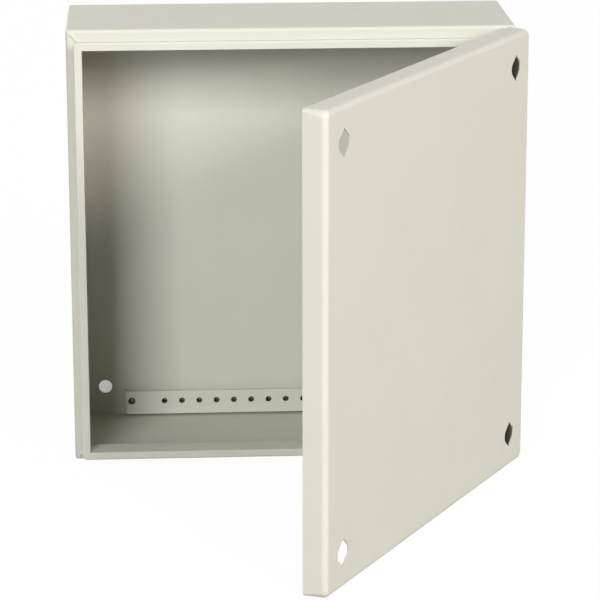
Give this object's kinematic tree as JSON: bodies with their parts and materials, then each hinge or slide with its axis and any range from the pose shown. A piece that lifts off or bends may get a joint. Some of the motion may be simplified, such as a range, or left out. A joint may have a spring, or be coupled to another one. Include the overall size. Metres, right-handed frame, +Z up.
{
  "type": "wall-mounting steel enclosure",
  "caption": "Empty square sheet-steel wall enclosure, the housing of a control panel, with a hinged tray door, a sealing rim, a perforated strip inside and wall-screw holes.",
  "frame": {"origin": "centre of the rear face, which lies on the wall", "axes": "+Y out of the rear face into the wall, so the front faces -Y; +Z up; the door is hinged on the +X side"},
  "size_m": [0.3074, 0.3682, 0.3],
  "materials": {
    "body_paint": "satin light grey powder coat",
    "door_paint": "satin light grey powder coat",
    "zinc": "zinc plated",
    "plated_stud": "copper plated",
    "foam": "foamed-in polyurethane"
  },
  "bodies": {
    "enclosure": {"rear_panel": "body_paint", "top_wall": "body_paint", "bottom_wall": "body_paint", "left_wall": "body_paint", "right_wall": "body_paint", "perforated_strip": "body_paint", "upper_hinge_bracket": "zinc", "lower_hinge_bracket": "zinc", "upper_hinge_pin": "zinc", "lower_hinge_pin": "zinc", "body_earth_stud": "plated_stud", "body_earth_washer": "zinc", "body_earth_nut": "zinc"},
    "door": {"door_tray": "door_paint", "door_gasket": "foam", "upper_hinge_leaf": "zinc", "lower_hinge_leaf": "zinc", "door_earth_stud": "plated_stud", "door_earth_washer": "zinc", "door_earth_nut": "zinc"}
  },
  "joints": [
    {"name": "door_hinge", "type": "hinge", "parent": "enclosure", "child": "door", "pos_m": [0.146, -0.108, 0], "axis": [0, 0, 1], "range_deg": [-59.5, 60.5]}
  ]
}
